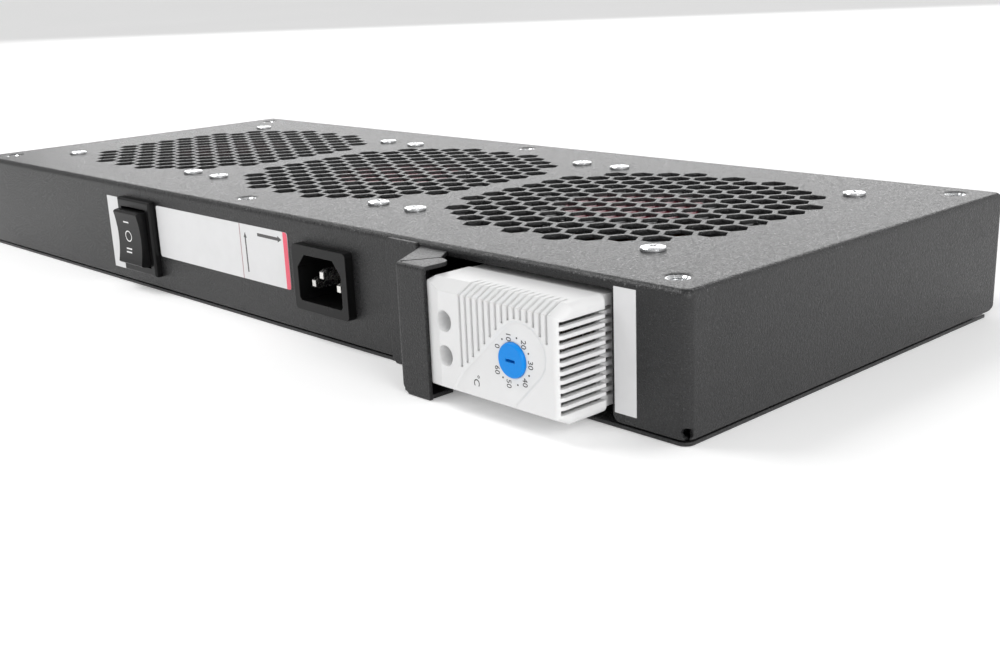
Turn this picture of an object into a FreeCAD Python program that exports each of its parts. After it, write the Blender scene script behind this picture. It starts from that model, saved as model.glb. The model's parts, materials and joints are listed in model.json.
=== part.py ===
import FreeCAD, Part
import os
import math
import Sketcher

# Fan tray, 19-inch rack family, three 120 mm fans, one height unit.
# Frame: origin at the centre of the underside, +X along the long side towards
# the thermostat end, -Y towards the control side, +Z up.  Millimetres.

V = FreeCAD.Vector
doc = FreeCAD.newDocument("fan_tray")
sheet = doc.addObject("Spreadsheet::Sheet", "dims")


class Q:
    """A size: its value, and the expression over the sheet that drives it."""

    def __init__(self, v, t=None, free=False):
        self.v = float(v)
        self.t = t if t is not None else repr(float(v))
        self.free = free

    def _op(self, o, s, v, flip=False):
        o = q(o)
        a, b = (o, self) if flip else (self, o)
        return Q(v(a.v, b.v), "(%s %s %s)" % (a.t, s, b.t), self.free or o.free)

    def __add__(self, o): return self._op(o, "+", lambda a, b: a + b)
    def __radd__(self, o): return self._op(o, "+", lambda a, b: a + b, True)
    def __sub__(self, o): return self._op(o, "-", lambda a, b: a - b)
    def __rsub__(self, o): return self._op(o, "-", lambda a, b: a - b, True)
    def __mul__(self, o): return self._op(o, "*", lambda a, b: a * b)
    def __rmul__(self, o): return self._op(o, "*", lambda a, b: a * b, True)
    def __truediv__(self, o): return self._op(o, "/", lambda a, b: a / b)
    def __neg__(self): return Q(-self.v, "(0 - %s)" % self.t, self.free)


def q(a):
    return a if isinstance(a, Q) else Q(a)


row = [0]


def dim(alias, value):
    row[0] += 1
    sheet.set("A%d" % row[0], alias)
    sheet.set("B%d" % row[0], str(value))
    sheet.setAlias("B%d" % row[0], alias)
    return Q(value, "dims." + alias, True)


# ---- driving dimensions -------------------------------------------------
W = dim("tray_width", 430.0)
D = dim("tray_depth", 168.0)
H = dim("tray_height", 41.5)
TS = dim("shell_sheet", 1.2)
TB = dim("base_sheet", 1.0)
GAP = dim("base_gap", 0.6)
CR = dim("corner_radius", 3.0)
BCR = dim("rear_corner_radius", 6.0)
BCN = dim("rear_corner_notch", 8.0)
BR = dim("bend_radius", 2.0)
FL = dim("flange_width", 13.0)
PITCH = dim("fan_pitch", 125.0)
FSZ = dim("fan_size", 119.0)
FTH = dim("fan_depth", 38.0)
FHP = dim("fan_hole_half_pitch", 52.5)
FBORE = dim("fan_bore_radius", 57.3)
HEXP = dim("hex_pitch", 10.16)
HEXF = dim("hex_flat_to_flat", 8.5)
CHX = dim("corner_hole_x", 203.0)
CHY = dim("corner_hole_y", 73.0)
ROTR = dim("rotor_cup_radius", 31.0)
BLDR = dim("blade_tip_radius", 55.5)
SHR = dim("shaft_radius", 1.585)
BRGR = dim("bearing_bore_radius", 1.61)
SWX = dim("switch_x", -62.9)
SWZ = dim("switch_z", 21.3)
INX = dim("inlet_x", 62.3)
INZ = dim("inlet_z", 21.6)
THX0 = dim("thermostat_left", 134.0)
THX1 = dim("thermostat_right", 189.2)
THZ0 = dim("thermostat_bottom", 4.2)
THZ1 = dim("thermostat_top", 37.2)
THYF = dim("thermostat_front", -104.0)
THYB = dim("thermostat_back", -68.5)
KNX = dim("knob_x", 171.9)
KNZ = dim("knob_z", 20.0)
KNR = dim("knob_radius", 4.95)
FLG = dim("fan_flange", 4.5)
GT = dim("guard_sheet", 1.2)
GZ = dim("guard_top", 39.8)
SBF = dim("switch_bezel_proud", 2.9)
RPY = dim("rocker_pivot_y", -83.0)
THP = dim("thermostat_parting", -86.05)
THBX = dim("thermostat_base_right", 187.0)
IBF = dim("inlet_bezel_proud", 3.2)
WIRE = dim("wire_radius", 0.9)
doc.recompute()

Z0 = TB + GAP            # lower edge of the walls
ZT = H - TS              # underside of the top sheet
ZF0 = ZT - FTH           # lower face of the fans
YF = -D / 2              # outer face of the front wall
FANS = [("left", -1), ("middle", 0), ("right", 1)]
nodes = {}


# ---- helpers ------------------------------------------------------------
def setp(o, prop, a):
    a = q(a)
    setattr(o, prop, a.v)
    if a.free:
        o.setExpression(prop, a.t)


def place(o, x, y, z, rot=None):
    x, y, z = q(x), q(y), q(z)
    o.Placement = FreeCAD.Placement(V(x.v, y.v, z.v), rot or FreeCAD.Rotation())
    for k, a in (("x", x), ("y", y), ("z", z)):
        if a.free:
            o.setExpression(".Placement.Base." + k, a.t)


def box(name, x0, x1, y0, y1, z0, z1):
    o = doc.addObject("Part::Box", name)
    setp(o, "Length", q(x1) - x0)
    setp(o, "Width", q(y1) - y0)
    setp(o, "Height", q(z1) - z0)
    place(o, x0, y0, z0)
    return o


ROT = {"z": FreeCAD.Rotation(), "x": FreeCAD.Rotation(V(0, 1, 0), 90),
       "y": FreeCAD.Rotation(V(1, 0, 0), -90), "-y": FreeCAD.Rotation(V(1, 0, 0), 90),
       "-z": FreeCAD.Rotation(V(1, 0, 0), 180)}


def cyl(name, r, length, x, y, z, axis="z"):
    o = doc.addObject("Part::Cylinder", name)
    setp(o, "Radius", r)
    setp(o, "Height", length)
    place(o, x, y, z, ROT[axis])
    return o


def cone(name, r1, r2, length, x, y, z, axis="z"):
    o = doc.addObject("Part::Cone", name)
    setp(o, "Radius1", r1)
    setp(o, "Radius2", r2)
    setp(o, "Height", length)
    place(o, x, y, z, ROT[axis])
    return o


def fuse(name, parts, refine=True):
    o = doc.addObject("Part::MultiFuse", name)
    o.Shapes = parts
    o.Refine = refine
    return o


def cut(name, base, tools):
    o = doc.addObject("Part::Cut", name)
    o.Base = base
    o.Tool = tools[0] if len(tools) == 1 else fuse(name + "_tools", tools, False)
    return o


def common(name, a, b):
    o = doc.addObject("Part::MultiCommon", name)
    o.Shapes = [a, b]
    return o


def feature(name, shape, pos=None):
    o = doc.addObject("Part::Feature", name)
    o.Shape = shape
    o.Placement = FreeCAD.Placement(V(*(pos or (0, 0, 0))), FreeCAD.Rotation())
    return o


def node(label, o):
    o.Label = label
    nodes[label] = o
    return o


def plane_of(body, role):
    for f in body.Origin.OriginFeatures:
        if f.Role == role:
            return f


def new_body(name):
    return doc.addObject("PartDesign::Body", name)


def new_sketch(body, name, role="XY_Plane", off=0):
    sk = body.newObject("Sketcher::SketchObject", name)
    sk.AttachmentSupport = [(plane_of(body, role), "")]
    sk.MapMode = "FlatFace"
    off = q(off)
    sk.AttachmentOffset = FreeCAD.Placement(V(0, 0, off.v), FreeCAD.Rotation())
    if off.free:
        sk.setExpression(".AttachmentOffset.Base.z", off.t)
    return sk


def rect(sk, x0, y0, x1, y1):
    """A rectangle whose four sides are held from the sketch's origin."""
    x0, y0, x1, y1 = q(x0), q(y0), q(x1), q(y1)
    p = [V(x0.v, y0.v, 0), V(x1.v, y0.v, 0), V(x1.v, y1.v, 0), V(x0.v, y1.v, 0)]
    b = sk.GeometryCount
    sk.addGeometry([Part.LineSegment(p[i], p[(i + 1) % 4]) for i in range(4)], False)
    for i in range(4):
        sk.addConstraint(Sketcher.Constraint("Coincident", b + i, 2, b + (i + 1) % 4, 1))
    sk.addConstraint(Sketcher.Constraint("Horizontal", b))
    sk.addConstraint(Sketcher.Constraint("Horizontal", b + 2))
    sk.addConstraint(Sketcher.Constraint("Vertical", b + 1))
    sk.addConstraint(Sketcher.Constraint("Vertical", b + 3))
    for kind, g, a in (("DistanceX", b, x0), ("DistanceY", b, y0),
                       ("DistanceX", b + 2, x1), ("DistanceY", b + 2, y1)):
        c = sk.addConstraint(Sketcher.Constraint(kind, -1, 1, g, 1, a.v))
        if a.free:
            sk.setExpression("Constraints[%d]" % c, a.t)


def loops(sk, polys):
    """Closed loops of points; a loop of one circle is (x, y, radius)."""
    g = []
    for poly in polys:
        if len(poly) == 3 and not isinstance(poly[0], (tuple, list)):
            g.append(Part.Circle(V(poly[0], poly[1], 0), V(0, 0, 1), poly[2]))
            continue
        n = len(poly)
        for i in range(n):
            a, b = poly[i], poly[(i + 1) % n]
            g.append(Part.LineSegment(V(a[0], a[1], 0), V(b[0], b[1], 0)))
    sk.addGeometry(g, False)


def pad(body, name, sk, length, rev=False):
    f = body.newObject("PartDesign::Pad", name)
    f.Profile = sk
    setp(f, "Length", length)
    f.Reversed = rev
    return f


def pocket(body, name, sk, length, rev=False):
    f = body.newObject("PartDesign::Pocket", name)
    f.Profile = sk
    setp(f, "Length", length)
    f.Reversed = rev
    return f


def fillet(body, name, base, radius, pick):
    doc.recompute()
    es = []
    for i, e in enumerate(base.Shape.Edges):
        if pick(e):
            es.append("Edge%d" % (i + 1))
    f = body.newObject("PartDesign::Fillet", name)
    f.Base = (base, es)
    setp(f, "Radius", radius)
    return f


def plate(name, polys, role, off, length, rev=False):
    """One padded profile as a body of its own."""
    b = new_body(name)
    sk = new_sketch(b, name + "_profile", role, off)
    loops(sk, polys)
    b.Tip = pad(b, name + "_pad", sk, length, rev)
    return b


def turned(name, pts):
    """A profile (radius, height) turned about the body's own Z axis."""
    b = new_body(name)
    sk = new_sketch(b, name + "_profile", "XZ_Plane")
    loops(sk, [pts])
    f = b.newObject("PartDesign::Revolution", name + "_turn")
    f.Profile = sk
    f.ReferenceAxis = (plane_axis(b, "Z_Axis"), [""])
    f.Angle = 360.0
    b.Tip = f
    return b


def plane_axis(body, role):
    for f in body.Origin.OriginFeatures:
        if f.Role == role:
            return f


def many(label, proto, spots):
    """Identical pieces as one group of separate solids."""
    doc.recompute()
    s = proto.Shape
    out = []
    for p in spots:
        c = s.copy()
        rot = p[3] if len(p) > 3 else FreeCAD.Rotation()
        c.Placement = FreeCAD.Placement(V(*p[:3]), rot)
        out.append(c)
    return node(label, feature(label, Part.makeCompound(out)))


def hexagon(cx, cy, flat):
    r = flat / math.sqrt(3.0)
    return [(cx + r * math.cos(math.radians(60 * k)), cy + r * math.sin(math.radians(60 * k)))
            for k in range(6)]


HEX_COLUMNS = [6, 9, 10, 11, 12, 11, 12, 11, 12, 11, 10, 9, 6]


def hex_field():
    """Hexagonal holes of one fan, flats facing front and back."""
    out = []
    dx = HEXP.v * math.sqrt(3.0) / 2
    for i, n in enumerate(HEX_COLUMNS):
        for k in range(n):
            out.append(hexagon((i - 6) * dx, (k - (n - 1) / 2.0) * HEXP.v, HEXF.v))
    return out


def along_z(e):
    if len(e.Vertexes) != 2:
        return False
    a, b = e.Vertexes[0].Point, e.Vertexes[1].Point
    return abs(a.x - b.x) < 1e-6 and abs(a.y - b.y) < 1e-6


def at_z(e, z):
    return all(abs(v.Point.z - z) < 1e-6 for v in e.Vertexes) and abs(e.CenterOfMass.z - z) < 1e-6


def punch(name, z, depth):
    """The hexagonal punches of all three fans, standing on height z."""
    out = []
    for _, sgn in FANS:
        for h in hex_field():
            pts = [V(x + PITCH.v * sgn, y, 0) for x, y in h]
            out.append(Part.Face(Part.makePolygon(pts + [pts[0]])).extrude(V(0, 0, depth)))
    o = feature(name, Part.makeCompound(out))
    place(o, 0, 0, z)
    return o


# ---- top shell: top sheet, four walls, inward flanges --------------------
shell = new_body("shell")
sk = new_sketch(shell, "shell_outline", "XY_Plane", Z0)
rect(sk, -W / 2, -D / 2, W / 2, D / 2)
f = pad(shell, "shell_block", sk, H - Z0)
f = fillet(shell, "shell_corners", f, CR, along_z)
f = fillet(shell, "shell_bends", f, BR, lambda e: at_z(e, H.v))
sk = new_sketch(shell, "shell_inside", "XY_Plane", Z0)
rect(sk, -(W / 2 - TS), -(D / 2 - TS), W / 2 - TS, D / 2 - TS)
f = pocket(shell, "shell_hollow", sk, ZT - Z0, True)
f = fillet(shell, "shell_inner_corners", f, CR - TS,
           lambda e: along_z(e) and abs(abs(e.CenterOfMass.x) - (W.v / 2 - TS.v)) < 1e-3
           and abs(abs(e.CenterOfMass.y) - (D.v / 2 - TS.v)) < 1e-3)
f = fillet(shell, "shell_inner_bends", f, BR - TS, lambda e: at_z(e, ZT.v))
sk = new_sketch(shell, "shell_flanges", "XY_Plane", Z0)
inw = TS / 2
rect(sk, -(W / 2 - 7), -(D / 2 - inw), W / 2 - 7, -(D / 2 - FL))
rect(sk, -(W / 2 - 7), D / 2 - FL, W / 2 - 7, D / 2 - inw)
rect(sk, -(W / 2 - inw), -(D / 2 - FL - 1), -(W / 2 - FL), D / 2 - FL - 1)
rect(sk, W / 2 - FL, -(D / 2 - FL - 1), W / 2 - inw, D / 2 - FL - 1)
shell.Tip = pad(shell, "shell_flange_pad", sk, TS)

tools = []
# notch for the thermostat, open at the bottom, and its rounded lower corner
NX0, NX1, NZ1 = q(114.5), THX1 + 0.5, q(38.3)
tools.append(box("notch", NX0, NX1, YF - 1, YF + FL + 1, q(0), NZ1))
rc = cut("notch_corner", box("notch_corner_b", NX1 - 0.1, NX1 + 2.4, YF - 1, YF + TS + 0.4, Z0 - 1, Z0 + 2.4),
         [cyl("notch_corner_c", 2.4, 6, NX1 + 2.4, YF - 2, Z0 + 2.4, "y")])
tools.append(rc)
# switch and inlet cut-outs
tools.append(box("switch_cut", SWX - 11.1, SWX + 11.1, YF - 1, YF + 2, SWZ - 14.1, SWZ + 14.1))
tools.append(box("inlet_cut", INX - 13.6, INX + 13.6, YF - 1, YF + 2, INZ - 10.1, INZ + 10.1))
# relief holes with a slit at the two lower front corners
for sx in (-1, 1):
    tools.append(cyl("relief%d" % (sx + 1), 1.4, 3.4, sx * (W / 2 - 0.9), -(D / 2 - 0.9) - 1.7, q(3.5), "y"))
    tools.append(box("slit%d" % (sx + 1), sx * (W / 2 - 0.9) - 0.5, sx * (W / 2 - 0.9) + 0.5,
                     -(D / 2 - 0.9) - 1.8, -(D / 2 - 0.9) + 1.8, Z0 - 1, q(3.5)))
# rounded lower rear corners
for n, x0, x1 in (("left", -W / 2 - 1, -W / 2 + BCN), ("right", W / 2 - BCN, W / 2 + 1)):
    tools.append(cut("rear_corner_" + n, box("rear_corner_b_" + n, x0, x1, D / 2 - BCR, D / 2 + 1, Z0 - 1, Z0 + BCR),
                     [cyl("rear_corner_c_" + n, BCR, BCN + 3, x0 - 1, D / 2 - BCR, Z0 + BCR, "x")]))
# fan screw holes
fan_spots = []
for _, s in FANS:
    for sx in (-1, 1):
        for sy in (-1, 1):
            fan_spots.append((PITCH * s + FHP * sx, FHP * sy))
for i, (x, y) in enumerate(fan_spots):
    tools.append(cyl("fan_hole%d" % i, 2.2, 4, x, y, H - 3))
# six places for clinched nuts, each in a shallow ring
cs_spots = [(CHX * sx, CHY * sy) for sx in (-1, 0, 1) for sy in (-1, 1)]
for i, (x, y) in enumerate(cs_spots):
    tools.append(cone("sink%d" % i, 3.45, 4.7, 0.3, x, y, H - 0.25))
    tools.append(cyl("sink_hole%d" % i, 3.45, 4, x, y, H - 3))
# base screw holes in the flanges
base_spots = [(-190.0, -77.0), (0.0, -77.0), (203.0, -77.0), (-190.0, 77.0), (0.0, 77.0), (190.0, 77.0)]
for i, (x, y) in enumerate(base_spots):
    tools.append(cyl("base_tap%d" % i, 1.5, 4, q(x), q(y), Z0 - 1))
node("top_shell", cut("top_shell", cut("shell_cut", shell, tools), [punch("top_punch", ZT - 0.3, 2.0)]))

# ---- bottom plate ---------------------------------------------------------
base = new_body("base")
sk = new_sketch(base, "base_outline")
rect(sk, -W / 2, -D / 2, W / 2, D / 2)
f = pad(base, "base_pad", sk, TB)
f = fillet(base, "base_corners", f, CR, along_z)
sk = new_sketch(base, "base_dimples", "XY_Plane", TB / 2)
loops(sk, [(x, y, 5.5) for x, y in base_spots])
base.Tip = pad(base, "base_dimple_pad", sk, TB / 2 + GAP)
tools = []
for i, (x, y) in enumerate(base_spots):
    tools.append(cone("base_sink%d" % i, 3.05, 1.45, TB + GAP, q(x), q(y), q(0)))
    tools.append(cyl("base_hole%d" % i, 1.55, 4, q(x), q(y), q(-1)))
tools.append(box("base_corner_left", -W / 2 - 1, -W / 2 + BCN, D / 2 - BCN, D / 2 + 1, q(-1), q(3)))
tools.append(box("base_corner_right", W / 2 - BCN, W / 2 + 1, D / 2 - BCN, D / 2 + 1, q(-1), q(3)))
node("bottom_plate", cut("bottom_plate", cut("base_cut", base, tools), [punch("base_punch", q(-0.5), 2.0)]))

# ---- base screws, countersunk, flush below --------------------------------
scr = turned("base_screw", [(0, 0), (2.95, 0), (1.5, 1.5), (1.5, 6.0), (1.2, 6.4), (0, 6.4)])
sk = new_sketch(scr, "base_screw_cross")
rect(sk, -1.5, -0.3, 1.5, 0.3)
f = pocket(scr, "base_screw_slot", sk, 0.8, True)
sk = new_sketch(scr, "base_screw_cross2")
rect(sk, -0.3, -1.5, 0.3, 1.5)
scr.Tip = pocket(scr, "base_screw_slot2", sk, 0.8, True)
many("base_screws", scr, [(x, y, 0.02) for x, y in base_spots])

# ---- nuts clinched into the six places, their collars almost flush ---------
nut = turned("clinch_nut", [(2.5, 0), (5.2, 0), (5.5, 0.4), (5.5, 3.4), (4.6, 3.8), (4.6, 3.99), (3.42, 3.99), (3.42, 4.85),
                            (3.05, 4.85), (2.5, 4.3)])
many("clinch_nuts", nut, [(x.v, y.v, ZT.v - 4.0) for x, y in cs_spots])

# ---- twelve pan-head fan screws and their nuts -----------------------------
head = [(0, -14.0), (1.7, -14.0), (1.98, -13.6), (1.98, 0), (3.75, 0), (3.82, 0.12), (3.82, 0.75),
        (3.6, 1.0), (2.6, 1.2), (1.4, 1.3), (0, 1.32)]
scr = turned("fan_screw", head)
sk = new_sketch(scr, "fan_screw_cross", "XY_Plane", 1.4)
rect(sk, -1.9, -0.36, 1.9, 0.36)
f = pocket(scr, "fan_screw_slot", sk, 1.1)
sk = new_sketch(scr, "fan_screw_cross2", "XY_Plane", 1.4)
rect(sk, -0.36, -1.9, 0.36, 1.9)
scr.Tip = pocket(scr, "fan_screw_slot2", sk, 1.1)
turns = [12, 47, 80, 30, 64, 5, 71, 38, 20, 55, 84, 41]
many("fan_screws", scr, [(x.v, y.v, H.v, FreeCAD.Rotation(V(0, 0, 1), turns[i]))
                         for i, (x, y) in enumerate(fan_spots)])
nb = new_body("fan_nut")
sk = new_sketch(nb, "fan_nut_profile")
loops(sk, [hexagon(0, 0, 7.0), (0, 0, 2.0)])
nb.Tip = pad(nb, "fan_nut_pad", sk, 3.2)
many("fan_nuts", nb, [(x.v, y.v, ZT.v - FLG.v - 3.2) for x, y in fan_spots])

# ---- guard beside the thermostat: one bent sheet ---------------------------
ax, ay, bx, by = 112.6, YF.v - GT.v, 122.7, -102.5
ux, uy = (bx - ax), (by - ay)
ul = math.hypot(ux, uy)
ux, uy = ux / ul, uy / ul
nx, ny = -uy, ux            # towards +X +Y: the inner side
if nx < 0:
    nx, ny = -nx, -ny
gt = GT.v


def meet(p, d, y):
    """The point of the line p + s d at the given y."""
    s = (y - p[1]) / d[1]
    return (p[0] + s * d[0], y)


in_a = meet((ax + nx * gt, ay + ny * gt), (ux, uy), YF.v - 0.02)
in_b = meet((ax + nx * gt, ay + ny * gt), (ux, uy), by + gt)
profile = [(96.6, YF.v - 0.02), (96.6, ay), (ax, ay), (bx, by), (135.0, by), (135.0, by + gt), in_b, in_a]
gb = new_body("guard_walls")
sk = new_sketch(gb, "guard_profile", "XY_Plane", 0.03)
loops(sk, [profile])
f = pad(gb, "guard_pad", sk, GZ - 0.03)
f = fillet(gb, "guard_bend", f, 1.5,
           lambda e: along_z(e) and (math.hypot(e.CenterOfMass.x - bx, e.CenterOfMass.y - by) < 0.01
                                     or math.hypot(e.CenterOfMass.x - ax, e.CenterOfMass.y - ay) < 0.01))
f = fillet(gb, "guard_top_bend", f, 1.15,
           lambda e: at_z(e, GZ.v) and abs(e.CenterOfMass.y - by) < 0.3 and e.CenterOfMass.x > bx - 1.0)
gb.Tip = f


def on(t, off):
    """A point t along the slanted wall, off inwards from its outer face."""
    return (ax + ux * t + nx * off, ay + uy * t + ny * off)


edge0 = meet(on(0, 1.0), (ux, uy), YF.v - 0.05)
# top tabs, bent back from the slanted wall and from the front strip, with a mitre gap
rear_tab = plate("guard_rear_tab", [[edge0, (124.6, YF.v - 0.05), (129.3, -90.6), (123.2, -100.3), on(ul - 1.9, 1.0)]],
                 "XY_Plane", GZ - GT, GT)
front_tab = plate("guard_front_tab", [[(124.5, by + 1.0), (124.1, -100.4), (130.0, -90.9), (132.0, -91.3), (134.0, -92.3),
                                       (135.0, -94.0), (135.0, by + 1.0)]], "XY_Plane", GZ - GT, GT)
low_tab = plate("guard_low_tab", [[(124.4, by + 0.3), (124.4, -93.0), (126.0, -91.2), (132.6, -91.2), (134.4, -93.0),
                                   (134.4, by + 0.3)]], "XY_Plane", 0.03, GT)
guard = fuse("guard_blank", [gb, rear_tab, front_tab, low_tab])
# panel is a little taller than the tabs; its corners are eased
panel = plate("guard_panel", [[(98.2, 0.03), (96.6, 1.6), (96.6, 39.4), (97.9, 40.8), (111.5, 40.8), (111.5, 0.03)]],
              "XZ_Plane", -(YF - 0.02), GT - 0.02)
eased = [plate("guard_ease1", [[(95.0, -1.0), (98.25, -1.0), (98.25, 0.0), (96.55, 1.65), (95.0, 1.65)]],
               "XZ_Plane", -(YF - 0.0), 3.0),
         plate("guard_ease2", [[(95.0, 42.0), (95.0, 39.35), (96.55, 39.35), (97.9, 40.75), (97.9, 42.0)]],
               "XZ_Plane", -(YF - 0.0), 3.0),
         plate("guard_ease3", [[(121.0, -1.0), (125.2, -1.0), (125.2, 0.2), (122.4, 3.0), (121.0, 3.0)]],
               "XZ_Plane", 101.0, 3.0)]
node("thermostat_guard", cut("thermostat_guard", fuse("guard_whole", [guard, panel]), eased))


# ---- fans ------------------------------------------------------------------
def blade(cup_r, tip_r, z0, z1):
    """One swept, twisted blade as a loft through three sections."""
    ws = []
    for r, ang, chord, lead in ((cup_r - 0.6, 42.0, 27.0, 0.0), ((cup_r + tip_r) / 2, 34.0, 33.0, 4.0),
                                (tip_r + 3.0, 27.0, 39.0, 9.0)):
        a = math.radians(ang)
        t = 0.9
        zc = (z0 + z1) / 2
        c, s = math.cos(a), math.sin(a)
        pts = []
        for u, w, camber in ((-0.5, -1, 0), (0.0, -1, 1), (0.5, -1, 0), (0.5, 1, 0), (0.0, 1, 1), (-0.5, 1, 0)):
            yy = u * chord
            ww = w * t + camber * 1.6
            pts.append(V(r, lead + yy * c - ww * s, zc + yy * s + ww * c))
        ws.append(Part.makePolygon(pts + [pts[0]]))
    return Part.makeLoft(ws, True, True)


bz0, bz1 = 5.5, 34.0
one = blade(ROTR.v, BLDR.v, bz0, bz1)
limit = Part.makeCylinder(BLDR.v, 29.2, V(0, 0, 4.6))
one = one.common(limit)
one = Part.makeSolid(one.Shells[0]) if one.Solids == [] else one.Solids[0]
print("blade", round(one.Volume), one.isValid(), [round(v, 1) for v in (one.BoundBox.ZMin, one.BoundBox.ZMax)])
blades = []
for k in range(7):
    b = one.copy()
    b.rotate(V(0, 0, 0), V(0, 0, 1), 360.0 * k / 7)
    blades.append(b)

for name, s in FANS:
    cx = PITCH * s
    sfx = "_" + name
    h = FSZ / 2
    # frame: two square flanges, a barrel, four struts, motor base, bearing tube
    fb = new_body("frame_body" + sfx)
    sk = new_sketch(fb, "frame_outline" + sfx, "XY_Plane", ZF0)
    rect(sk, cx - h, -h, cx + h, h)
    f = pad(fb, "frame_pad" + sfx, sk, FTH)
    fb.Tip = fillet(fb, "frame_corners" + sfx, f, 4.0, along_z)
    waist = cut("waist" + sfx, box("waist_b" + sfx, cx - 61, cx + 61, q(-61), q(61), ZF0 + FLG, ZT - FLG),
                [cyl("waist_c" + sfx, FBORE + 1.6, 60, cx, 0, -5)])
    hollow = [cyl("bore" + sfx, FBORE, 60, cx, 0, -5), waist]
    for i, (sx, sy) in enumerate(((-1, -1), (1, -1), (-1, 1), (1, 1))):
        hollow.append(cyl("bolt%d" % i + sfx, 2.15, 60, cx + FHP * sx, FHP * sy, -5))
    ring = cut("frame_ring" + sfx, fb, hollow)
    ZB = ZT - 3.8             # underside of the motor base
    hub = fuse("hub_plus" + sfx, [
        cyl("hub" + sfx, 31.5, 3.4, cx, 0, ZB),
        box("strut_x" + sfx, cx - FBORE - 0.8, cx + FBORE + 0.8, q(-2.2), q(2.2), ZB, ZT - 0.4),
        box("strut_y" + sfx, cx - 2.2, cx + 2.2, -(FBORE + 0.8), FBORE + 0.8, ZB, ZT - 0.4),
        cyl("tube" + sfx, 6.5, 23.5, cx, 0, ZB - 23.0)])
    hub_cut = cut("hub_cut" + sfx, hub, [cyl("tube_bore" + sfx, 4.0, 25.5, cx, 0, ZB - 24.0),
                                         cyl("label_seat" + sfx, 24.2, 1.0, cx, 0, ZT - 0.65)])
    node("fan_frame" + sfx, fuse("fan_frame" + sfx, [ring, hub_cut]))
    # shaft
    node("fan_shaft" + sfx, cyl("fan_shaft" + sfx, SHR, 28.6, cx, 0, q(6.4)))
    # rotor: cup with blades, pressed on the shaft
    cup = turned("cup" + sfx, [(SHR.v, 6.6), (5.0, 6.6), (5.0, 5.0), (29.5, 5.0), (31.0, 6.5), (31.0, 34.4),
                               (28.6, 34.4), (28.6, 8.0), (5.5, 8.0), (5.5, 11.5), (SHR.v, 11.5)])
    place(cup, cx, 0, 0)
    bl = feature("blades" + sfx, Part.makeCompound(blades))
    place(bl, cx, 0, 0)
    node("fan_impeller" + sfx, fuse("fan_impeller" + sfx, [cup, bl]))
    # steel ring inside the cup
    b = turned("rotor_ring" + sfx, [(26.2, 13.0), (28.58, 13.0), (28.58, 33.4), (26.2, 33.4)])
    place(b, cx, 0, 0)
    node("fan_rotor_ring" + sfx, b)
    # stator core with eight poles, round the bearing tube
    core = cut("core_cut" + sfx, cyl("core" + sfx, 25.6, 11.0, cx, 0, q(18.0)),
               [cyl("core_bore" + sfx, 6.52, 13.0, cx, 0, q(17.0))] +
               [fuse("slot%d" % k + sfx, [
                   cyl("slot_r%d" % k + sfx, 4.6, 13.0, cx + 16.0 * math.cos(math.radians(45 * k)),
                       16.0 * math.sin(math.radians(45 * k)), q(17.0)),
                   cyl("slot_o%d" % k + sfx, 1.1, 13.0, cx + 24.9 * math.cos(math.radians(45 * k)),
                       24.9 * math.sin(math.radians(45 * k)), q(17.0)),
                   cyl("slot_m%d" % k + sfx, 2.0, 13.0, cx + 22.0 * math.cos(math.radians(45 * k)),
                       22.0 * math.sin(math.radians(45 * k)), q(17.0))]) for k in range(8)])
    node("fan_stator" + sfx, core)
    # winding heads above and below the core
    b = turned("winding" + sfx, [(9.2, 0), (21.0, 0), (22.6, 1.2), (22.6, 3.0), (9.2, 3.0)])
    many("fan_windings" + sfx, b, [(cx.v, 0, 29.0, FreeCAD.Rotation(V(0, 0, 1), 0)),
                                   (cx.v, 0, 18.0, FreeCAD.Rotation(V(1, 0, 0), 180))])

# two bearings in each frame's tube, and a plain disc on each motor base
b = turned("bearing", [(BRGR.v, 0), (4.0, 0), (4.0, 4.0), (BRGR.v, 4.0)])
many("fan_bearings", b, [(PITCH.v * s, 0, z) for _, s in FANS for z in (15.5, 30.5)])
disc = doc.addObject("Part::Cylinder", "disc")
disc.Radius, disc.Height = 24.0, 0.25
many("fan_discs", disc, [(PITCH.v * s, 0, ZT.v - 0.65) for _, s in FANS])

# ---- rocker switch ---------------------------------------------------------
sb = fuse("switch_blank", [
    box("switch_bezel", SWX - 12.8, SWX + 12.8, YF - SBF, YF - 0.02, SWZ - 15, SWZ + 15),
    box("switch_case", SWX - 11, SWX + 11, YF - 1, q(-67), SWZ - 14, SWZ + 14)])
fs = doc.addObject("Part::Fillet", "switch_eased")
doc.recompute()
fs.Base = sb
fs.Edges = [(i + 1, 0.9, 0.9) for i, e in enumerate(sb.Shape.Edges)
            if all(abs(v.Point.y - (YF.v - SBF.v)) < 1e-6 for v in e.Vertexes)]
sh = cut("switch_housing", fs, [
    box("switch_well", SWX - 9.7, SWX + 9.7, YF - SBF - 1, q(-74), SWZ - 11.75, SWZ + 11.75),
    cyl("switch_pivot_hole", 1.54, 21.4, SWX - 10.7, RPY, SWZ, "x")] + [
    box("switch_blade_slot%d" % i, SWX + dx - 3.2, SWX + dx + 3.2, q(-75), q(-66), SWZ + dz - 0.42, SWZ + dz + 0.42)
    for i, (dx, dz) in enumerate([(dx, dz) for dx in (-5, 5) for dz in (-9, 0, 9)])])
node("switch_housing", sh)
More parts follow.
